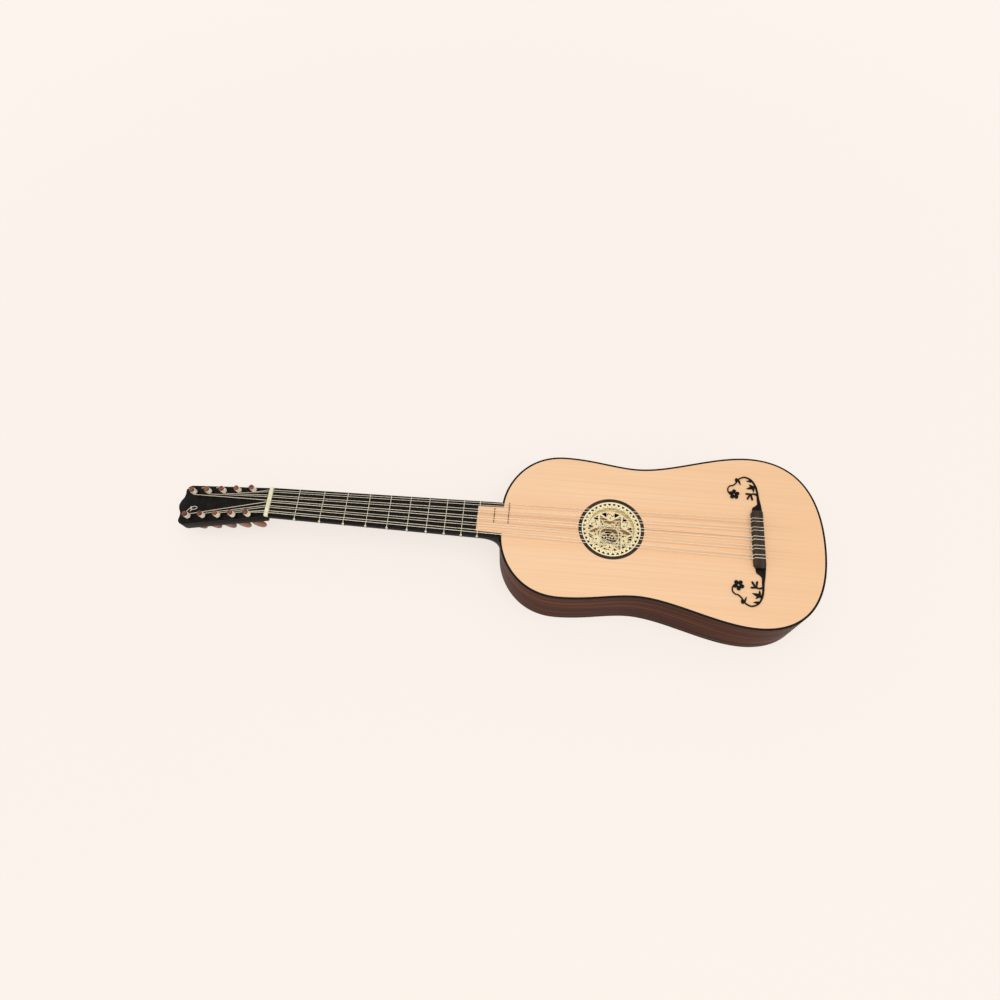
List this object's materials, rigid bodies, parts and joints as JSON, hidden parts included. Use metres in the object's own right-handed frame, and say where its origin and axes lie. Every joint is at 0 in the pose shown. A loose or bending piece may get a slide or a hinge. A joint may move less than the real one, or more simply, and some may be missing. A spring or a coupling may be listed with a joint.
{
  "type": "baroque guitar",
  "caption": "Narrow-waisted guitar with paired gut strings, tied gut frets, friction pegs set from behind, a sunk parchment rose and a low tied bridge.",
  "frame": {"origin": "bottom centre of the bounding box, on the plane of the flat back that the guitar lies on", "axes": "+X from the head to the tail along the strings, +Y to the treble side, +Z from the back to the strings"},
  "size_m": [0.9314, 0.2582, 0.0946],
  "materials": {
    "spruce": "satin varnish over fine straight grain",
    "rosewood": "dark figured wood, semi-gloss varnish",
    "ebony": "black, polished by hand",
    "stained_pear": "dark stained, satin",
    "stained_maple": "black stained, satin varnish",
    "plain_spruce": "bare, planed",
    "plum": "oiled reddish brown",
    "bone": null,
    "parchment": "cream, matt, cut through",
    "gut": null,
    "walnut": "dark brown strips, satin"
  },
  "bodies": {
    "body": {"soundboard": "spruce", "back": "rosewood", "side_bass": "rosewood", "side_treble": "rosewood", "binding_top": "ebony", "binding_back": "ebony", "neck_block": "plain_spruce", "tail_block": "plain_spruce", "lining_top_bass": "plain_spruce", "lining_top_treble": "plain_spruce", "lining_back_bass": "plain_spruce", "lining_back_treble": "plain_spruce", "soundboard_bar_upper": "plain_spruce", "soundboard_bar_lower": "plain_spruce", "back_bar_upper": "plain_spruce", "back_bar_lower": "plain_spruce", "neck": "stained_maple", "fingerboard": "ebony", "nut": "bone", "body_fret_11": "walnut", "body_fret_12": "walnut", "head": "stained_maple", "head_veneer": "ebony", "bridge": "stained_pear", "moustache_bass": "ebony", "moustache_treble": "ebony", "rose_ring": "ebony", "rose_upper": "parchment", "rose_lower": "parchment", "rose_cup": "parchment", "string_1": "gut", "string_2": "gut", "string_3": "gut", "string_4": "gut", "string_5": "gut", "string_6": "gut", "string_7": "gut", "string_8": "gut", "string_9": "gut", "string_10": "gut"},
    "peg_1": {"peg_1": "plum"},
    "peg_2": {"peg_2": "plum"},
    "peg_3": {"peg_3": "plum"},
    "peg_4": {"peg_4": "plum"},
    "peg_5": {"peg_5": "plum"},
    "peg_6": {"peg_6": "plum"},
    "peg_7": {"peg_7": "plum"},
    "peg_8": {"peg_8": "plum"},
    "peg_9": {"peg_9": "plum"},
    "peg_10": {"peg_10": "plum"},
    "tied_fret_1": {"tied_fret_1": "gut"},
    "tied_fret_2": {"tied_fret_2": "gut"},
    "tied_fret_3": {"tied_fret_3": "gut"},
    "tied_fret_4": {"tied_fret_4": "gut"},
    "tied_fret_5": {"tied_fret_5": "gut"},
    "tied_fret_6": {"tied_fret_6": "gut"},
    "tied_fret_7": {"tied_fret_7": "gut"},
    "tied_fret_8": {"tied_fret_8": "gut"},
    "tied_fret_9": {"tied_fret_9": "gut"},
    "tied_fret_10": {"tied_fret_10": "gut"}
  },
  "joints": [
    {"name": "peg_1_turn", "type": "hinge", "parent": "body", "child": "peg_1", "pos_m": [-0.34681, -0.0195, 0.0775], "axis": [-0.2419, 0, 0.9703], "continuous": true},
    {"name": "peg_2_turn", "type": "hinge", "parent": "body", "child": "peg_2", "pos_m": [-0.37107, -0.0195, 0.07145], "axis": [-0.2419, 0, 0.9703], "continuous": true},
    {"name": "peg_3_turn", "type": "hinge", "parent": "body", "child": "peg_3", "pos_m": [-0.39532, -0.0195, 0.0654], "axis": [-0.2419, 0, 0.9703], "continuous": true},
    {"name": "peg_4_turn", "type": "hinge", "parent": "body", "child": "peg_4", "pos_m": [-0.41958, -0.0195, 0.05936], "axis": [-0.2419, 0, 0.9703], "continuous": true},
    {"name": "peg_5_turn", "type": "hinge", "parent": "body", "child": "peg_5", "pos_m": [-0.44384, -0.0195, 0.05331], "axis": [-0.2419, 0, 0.9703], "continuous": true},
    {"name": "peg_6_turn", "type": "hinge", "parent": "body", "child": "peg_6", "pos_m": [-0.34681, 0.0195, 0.0775], "axis": [-0.2419, 0, 0.9703], "continuous": true},
    {"name": "peg_7_turn", "type": "hinge", "parent": "body", "child": "peg_7", "pos_m": [-0.37107, 0.0195, 0.07145], "axis": [-0.2419, 0, 0.9703], "continuous": true},
    {"name": "peg_8_turn", "type": "hinge", "parent": "body", "child": "peg_8", "pos_m": [-0.39532, 0.0195, 0.0654], "axis": [-0.2419, 0, 0.9703], "continuous": true},
    {"name": "peg_9_turn", "type": "hinge", "parent": "body", "child": "peg_9", "pos_m": [-0.41958, 0.0195, 0.05936], "axis": [-0.2419, 0, 0.9703], "continuous": true},
    {"name": "peg_10_turn", "type": "hinge", "parent": "body", "child": "peg_10", "pos_m": [-0.44384, 0.0195, 0.05331], "axis": [-0.2419, 0, 0.9703], "continuous": true},
    {"name": "tied_fret_1_slide", "type": "slide", "parent": "body", "child": "tied_fret_1", "axis": [1, 0, 0], "range_m": [-0.003, 0.003]},
    {"name": "tied_fret_2_slide", "type": "slide", "parent": "body", "child": "tied_fret_2", "axis": [1, 0, 0], "range_m": [-0.003, 0.003]},
    {"name": "tied_fret_3_slide", "type": "slide", "parent": "body", "child": "tied_fret_3", "axis": [1, 0, 0], "range_m": [-0.003, 0.003]},
    {"name": "tied_fret_4_slide", "type": "slide", "parent": "body", "child": "tied_fret_4", "axis": [1, 0, 0], "range_m": [-0.003, 0.003]},
    {"name": "tied_fret_5_slide", "type": "slide", "parent": "body", "child": "tied_fret_5", "axis": [1, 0, 0], "range_m": [-0.003, 0.003]},
    {"name": "tied_fret_6_slide", "type": "slide", "parent": "body", "child": "tied_fret_6", "axis": [1, 0, 0], "range_m": [-0.003, 0.003]},
    {"name": "tied_fret_7_slide", "type": "slide", "parent": "body", "child": "tied_fret_7", "axis": [1, 0, 0], "range_m": [-0.003, 0.003]},
    {"name": "tied_fret_8_slide", "type": "slide", "parent": "body", "child": "tied_fret_8", "axis": [1, 0, 0], "range_m": [-0.003, 0.003]},
    {"name": "tied_fret_9_slide", "type": "slide", "parent": "body", "child": "tied_fret_9", "axis": [1, 0, 0], "range_m": [-0.003, 0.003]},
    {"name": "tied_fret_10_slide", "type": "slide", "parent": "body", "child": "tied_fret_10", "axis": [1, 0, 0], "range_m": [-0.003, 0.003]}
  ]
}
